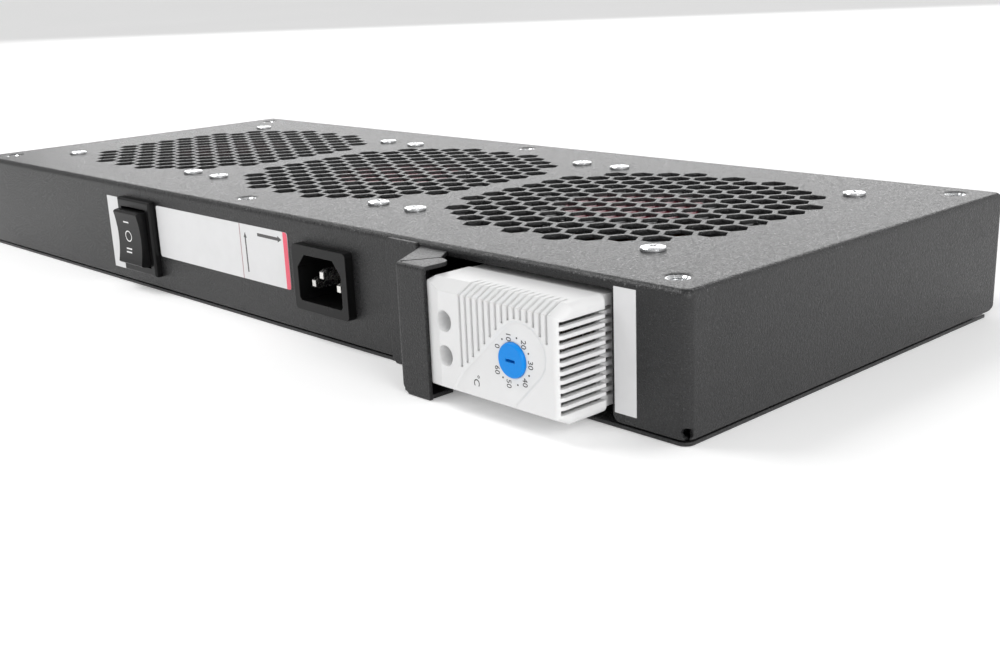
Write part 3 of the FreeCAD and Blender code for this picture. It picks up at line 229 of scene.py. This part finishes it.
def stacked(name, col):
    """Core sheets: fine lines across Z."""
    M = Mat(name)
    w = M.node("ShaderNodeTexWave", wave_type="BANDS", bands_direction="Z")
    w.inputs["Scale"].default_value = 320
    M.link(M.co, w.inputs["Vector"])
    f = w.outputs["Fac"]
    M.color(M.ramp(f, [(0.2, tuple(c * 0.45 for c in col)), (0.6, col)]))
    M.p.inputs["Metallic"].default_value = 0.8
    M.rough(M.range(M.noise(800), 0.3, 0.7, 0.35, 0.55))
    return M.surface([(f, 0.0001, 0.5)]).m


def wound(name, col):
    """Enamelled wire turns: fine rings round the coil."""
    M = Mat(name)
    w = M.node("ShaderNodeTexWave", wave_type="BANDS", bands_direction="Z")
    w.inputs["Scale"].default_value = 700
    w.inputs["Distortion"].default_value = 1.2
    M.link(M.co, w.inputs["Vector"])
    f = w.outputs["Fac"]
    M.color(M.ramp(f, [(0.2, tuple(c * 0.5 for c in col)), (0.7, col)]))
    M.p.inputs["Metallic"].default_value = 0.7
    M.rough(M.range(M.noise(500), 0.3, 0.7, 0.25, 0.4))
    return M.surface([(f, 0.0001, 0.6)]).m


def striped(name, a, b):
    """Green wire with its yellow stripe."""
    M = Mat(name)
    f = M.noise(230, 0.0, 0.5, (1.0, 0.35, 1.0))
    M.color(M.ramp(f, [(0.48, a), (0.52, b)]))
    M.rough(M.range(M.noise(300), 0.3, 0.7, 0.35, 0.5))
    return M.surface([(M.noise(2000), 0.00002, 0.2)]).m


MATS = {
    "black_powder": powder_black(),
    "zinc": metal("zinc", (0.83, 0.84, 0.85), (0.16, 0.30)),
    "steel_black": metal("steel_black", (0.10, 0.10, 0.10), (0.35, 0.5)),
    "steel": metal("steel_plain", (0.62, 0.62, 0.63), (0.22, 0.38)),
    "fan_cast": black_plastic("fan_cast", 0.030, (0.38, 0.5)),
    "fan_plastic": black_plastic("fan_plastic", 0.040, (0.30, 0.42)),
    "disc_red": paper("disc_red", (0.42, 0.020, 0.060), (0.25, 0.35)),
    "lamination": stacked("lamination", (0.45, 0.45, 0.47)),
    "copper": wound("copper", (0.72, 0.30, 0.12)),
    "black_plastic": black_plastic("black_plastic", 0.004, (0.26, 0.36), spec=0.22),
    "label_white": paper("label_white", (0.68, 0.68, 0.685)),
    "white_plastic": plastic("white_plastic", (0.71, 0.71, 0.71), (0.32, 0.42)),
    "blue_plastic": plastic("blue_plastic", (0.002, 0.23, 0.70), (0.26, 0.36), 0.0003, spec=0.22),
    "brass_plate": metal("brass_plate", (0.80, 0.79, 0.76), (0.2, 0.34)),
    "wire_black": black_plastic("wire_black", 0.018, (0.35, 0.5), None),
    "wire_brown": plastic("wire_brown", (0.14, 0.045, 0.018), (0.35, 0.5), None),
    "wire_green": striped("wire_green", (0.02, 0.20, 0.03), (0.70, 0.55, 0.03)),
    "block_grey": plastic("block_grey", (0.66, 0.65, 0.62), (0.4, 0.5)),
}
INK = plastic("ink_black", (0.015, 0.015, 0.016), (0.4, 0.5), None)
INK_GREY = plastic("ink_grey", (0.075, 0.072, 0.072), (0.4, 0.5), None)
INK_WHITE = plastic("ink_white", (0.80, 0.80, 0.80), (0.4, 0.5), None)
INK_RED = plastic("ink_red", (0.76, 0.10, 0.155), (0.35, 0.45), None)
INK_LINE = plastic("ink_line", (0.36, 0.20, 0.22), (0.4, 0.5), None)

slot_of = {s["node"]: s["material_slot"] for s in frame["record"]["subparts"]}
for name, o in N.items():
    mat = MATS[slot_of[name]]
    o.data.materials.clear()
    o.data.materials.append(mat)

# ------------------------------------------------------------ small pieces


def add(name, bm, mat, body="root", smooth=False):
    me = bpy.data.meshes.new(name)
    bm.normal_update()
    bm.to_mesh(me)
    bm.free()
    if smooth:
        for p in me.polygons:
            p.use_smooth = True
    me.materials.append(mat)
    o = bpy.data.objects.new(name, me)
    scene.collection.objects.link(o)
    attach(o, body)
    return o


def slab(bm, pts, depth_at, t=0.03):
    """A thin printed shape: pts are (x, z) in mm, depth_at(x, z) the y of the face it lies on."""
    front = [bm.verts.new(Vector((x, depth_at(x, z) - t, z)) * MM) for x, z in pts]
    back = [bm.verts.new(Vector((x, depth_at(x, z) + 0.004, z)) * MM) for x, z in pts]
    n = len(pts)
    bm.faces.new(front)
    bm.faces.new(back[::-1])
    for i in range(n):
        j = (i + 1) % n
        bm.faces.new((front[j], front[i], back[i], back[j]))


def ring(bm, cx, cz, rx, rz, w, depth_at, t=0.03, seg=40):
    loops = []
    for k, (dr, dy) in enumerate(((0, -t), (-w, -t), (-w, 0.004), (0, 0.004))):
        loops.append([bm.verts.new(Vector((
            cx + (rx + dr) * math.cos(2 * math.pi * i / seg),
            depth_at(cx, cz + (rz + dr) * math.sin(2 * math.pi * i / seg)) + dy,
            cz + (rz + dr) * math.sin(2 * math.pi * i / seg))) * MM) for i in range(seg)])
    for k in range(4):
        a, b = loops[k], loops[(k + 1) % 4]
        for i in range(seg):
            j = (i + 1) % seg
            bm.faces.new((a[i], a[j], b[j], b[i]))


# marks on the rocker: one bar, a ring and two bars
lo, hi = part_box("switch_rocker")
zc = (lo.z + hi.z) / 2 / MM


def rocker_face(x, z):
    u = (z - zc) / 10.2
    return -89.7 - 1.15 * u * u


def strip(bm, x0, x1, z0, z1, face, t=0.03, n=6):
    slab(bm, [(x0, z0), (x1, z0), (x1, z1), (x0, z1)], face, t)


bm = bmesh.new()
strip(bm, -65.9, -61.7, 27.45, 28.05, rocker_face)
ring(bm, -63.7, 22.0, 2.55, 2.25, 0.42, rocker_face)
strip(bm, -66.1, -61.8, 16.6, 17.15, rocker_face)
strip(bm, -66.1, -61.8, 15.2, 15.75, rocker_face)
add("switch_marks", bm, INK_WHITE, "rocker")

# plain graphics on the wide label: a rule, two arrows, a coloured end band
lo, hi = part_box("rating_label")
yl = lo.y / MM
flat = lambda x, z: yl
lx0, lx1, lz0, lz1 = lo.x / MM, hi.x / MM, lo.z / MM, hi.z / MM
bm = bmesh.new()
slab(bm, [(10.65, lz0 + 0.02), (11.05, lz0 + 0.02), (11.05, lz1 - 0.02), (10.65, lz1 - 0.02)], flat)
add("label_rule", bm, INK_LINE)
bm = bmesh.new()
slab(bm, [(14.0, 17.6), (14.75, 17.6), (14.5, 30.2), (15.15, 30.2), (14.15, 32.2), (13.2, 30.2), (13.8, 30.2)], flat)
slab(bm, [(22.2, 31.7), (34.9, 31.6), (34.9, 31.0), (37.2, 32.15), (34.9, 33.3), (34.9, 32.75), (22.2, 32.85)], flat)
add("label_arrows", bm, INK_GREY)
R = 1.2
pts = [(38.2, lz0), (lx1 - R, lz0)]
pts += [(lx1 - R + R * math.sin(math.radians(a)), lz0 + R - R * math.cos(math.radians(a))) for a in range(0, 91, 15)][1:]
pts += [(lx1 - R + R * math.cos(math.radians(a)), lz1 - R + R * math.sin(math.radians(a))) for a in range(0, 91, 15)]
pts += [(38.2, lz1)]
bm = bmesh.new()
slab(bm, pts, flat)
add("label_band", bm, INK_RED)

# dial scale: plain numbers, dots and the degree mark, all turned a quarter clockwise
lo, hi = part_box("thermostat_cover")
yd = lo.y / MM + 0.4          # the dial area lies a little lower than the face
tilt = Matrix(((0, 1, 0), (0, 0, -1), (-1, 0, 0)))   # text x -> -Z, text y -> +X, normal -> -Y


def text(s, x, z, size, name):
    cu = bpy.data.curves.new(name, "FONT")
    cu.body = s
    cu.size = size
    cu.align_x, cu.align_y = "CENTER", "CENTER"
    cu.extrude = 0.02
    cu.resolution_u = 4
    o = bpy.data.objects.new(name, cu)
    scene.collection.objects.link(o)
    bpy.context.view_layer.update()
    me = bpy.data.meshes.new_from_object(o.evaluated_get(bpy.context.evaluated_depsgraph_get()))
    bpy.data.objects.remove(o)
    T = Matrix.Translation(Vector((x, yd - 0.012, z)) * MM) @ tilt.to_4x4() @ Matrix.Scale(MM, 4)
    me.transform(T)
    return me


marks = bmesh.new()
for s, x, z, size in (("0", 165.8, 22.8, 2.6), ("10", 170.3, 26.2, 2.6), ("20", 176.0, 25.0, 2.6), ("30", 178.4, 19.8, 2.6),
                      ("40", 176.1, 14.5, 2.6), ("50", 169.9, 13.0, 2.6), ("60", 165.5, 16.0, 2.6), ("°C", 156.9, 11.2, 3.2)):
    me = text(s, x, z, size, "t_" + s)
    marks.from_mesh(me)
    bpy.data.meshes.remove(me)
dotf = lambda x, z: yd
for x, z in ((167.9, 25.1), (173.5, 26.4), (177.8, 22.9), (177.8, 16.8), (173.4, 13.3), (167.7, 14.3)):
    slab(marks, [(x + 0.28 * math.cos(2 * math.pi * k / 12), z + 0.28 * math.sin(2 * math.pi * k / 12)) for k in range(12)], dotf)
add("dial_marks", marks, INK)

# threads in the open corner nuts: a fine ridge that winds down the bore
lo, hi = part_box("clinch_nuts")
xs, ys = (lo.x + hi.x) / 2, (lo.y + hi.y) / 2
for i, (sx, sy) in enumerate(((-1, -1), (-1, 1), (0, -1), (0, 1), (1, -1), (1, 1))):
    bm = bmesh.new()
    seg, turns, pitch = 28, 4.6, 0.8
    prev = None
    for k in range(int(seg * turns) + 1):
        a = 2 * math.pi * k / seg
        z = 36.45 + pitch * k / seg
        c, s = math.cos(a), math.sin(a)
        ringv = [bm.verts.new(Vector((sx * 203.0 + r * c, sy * 73.0 + r * s, z + dz)) * MM)
                 for r, dz in ((2.51, -0.28), (2.12, 0.0), (2.51, 0.28))]
        if prev:
            for j in range(3):
                bm.faces.new((prev[j], prev[(j + 1) % 3], ringv[(j + 1) % 3], ringv[j]))
        else:
            bm.faces.new(ringv[::-1])
        prev = ringv
    bm.faces.new(prev)
    add("nut_thread_%d" % i, bm, MATS["zinc"], smooth=True)

# ------------------------------------------------------------------- stage
bm = bmesh.new()
bmesh.ops.create_grid(bm, x_segments=4, y_segments=4, size=40.0)
me = bpy.data.meshes.new("floor")
bm.to_mesh(me)
bm.free()
floor = bpy.data.objects.new("floor", me)
floor.location.z = -0.0002
scene.collection.objects.link(floor)
fm = Mat("floor_pale")
fm.color(fm.ramp(fm.noise(3, 2.0), [(0.3, (0.90, 0.90, 0.90)), (0.7, (0.93, 0.93, 0.93))]))
fm.rough(fm.range(fm.noise(20), 0.3, 0.7, 0.85, 0.95))
fm.p.inputs["Specular IOR Level"].default_value = 0.2
fm.p.inputs["Emission Color"].default_value = (1.0, 1.0, 1.0, 1.0)
fm.p.inputs["Emission Strength"].default_value = 0.15
me.materials.append(fm.m)

world = bpy.data.worlds.new("studio")
world.use_nodes = True
bg = world.node_tree.nodes["Background"]
wt = world.node_tree
wco = wt.nodes.new("ShaderNodeTexCoord")
dot = wt.nodes.new("ShaderNodeVectorMath")
dot.operation = "DOT_PRODUCT"
dot.inputs[1].default_value = (0.92, -0.25, 0.30)
wt.links.new(wco.outputs["Generated"], dot.inputs[0])
side = wt.nodes.new("ShaderNodeMapRange")
side.interpolation_type = "SMOOTHSTEP"
for k, v in (("From Min", -0.55), ("From Max", 0.75), ("To Min", 0.48), ("To Max", 1.48)):
    side.inputs[k].default_value = v
wt.links.new(dot.outputs["Value"], side.inputs["Value"])
up = wt.nodes.new("ShaderNodeSeparateXYZ")
wt.links.new(wco.outputs["Generated"], up.inputs[0])
sky = wt.nodes.new("ShaderNodeMapRange")
sky.interpolation_type = "SMOOTHSTEP"
for k, v in (("From Min", 0.45), ("From Max", 0.80), ("To Min", 1.0), ("To Max", 0.35)):
    sky.inputs[k].default_value = v
wt.links.new(up.outputs["Z"], sky.inputs["Value"])
both = wt.nodes.new("ShaderNodeMath")
both.operation = "MULTIPLY"
wt.links.new(side.outputs["Result"], both.inputs[0])
wt.links.new(sky.outputs["Result"], both.inputs[1])
wt.links.new(both.outputs[0], bg.inputs["Strength"])
bg.inputs["Color"].default_value = (1.0, 1.0, 1.0, 1.0)
scene.world = world


def area(name, pos, target, size, power):
    d = bpy.data.lights.new(name, "AREA")
    d.shape = "RECTANGLE"
    d.size, d.size_y = size
    d.energy = power
    o = bpy.data.objects.new(name, d)
    scene.collection.objects.link(o)
    o.location = pos
    o.rotation_euler = (Vector(target) - Vector(pos)).to_track_quat("-Z", "Y").to_euler()
    return o


area("key", (1.45, -0.38, 0.75), (0.15, -0.05, 0.0), (0.7, 0.7), 7.0)
area("back", (-1.3, 1.5, 0.75), (0, 0, 0.03), (2.4, 1.0), 16.0)
area("over", (-0.50, -0.36, 0.92), (0.19, -0.08, 0.04), (0.45, 0.45), 5.0)
scene.view_settings.view_transform = "Standard"
scene.view_settings.look = "None"
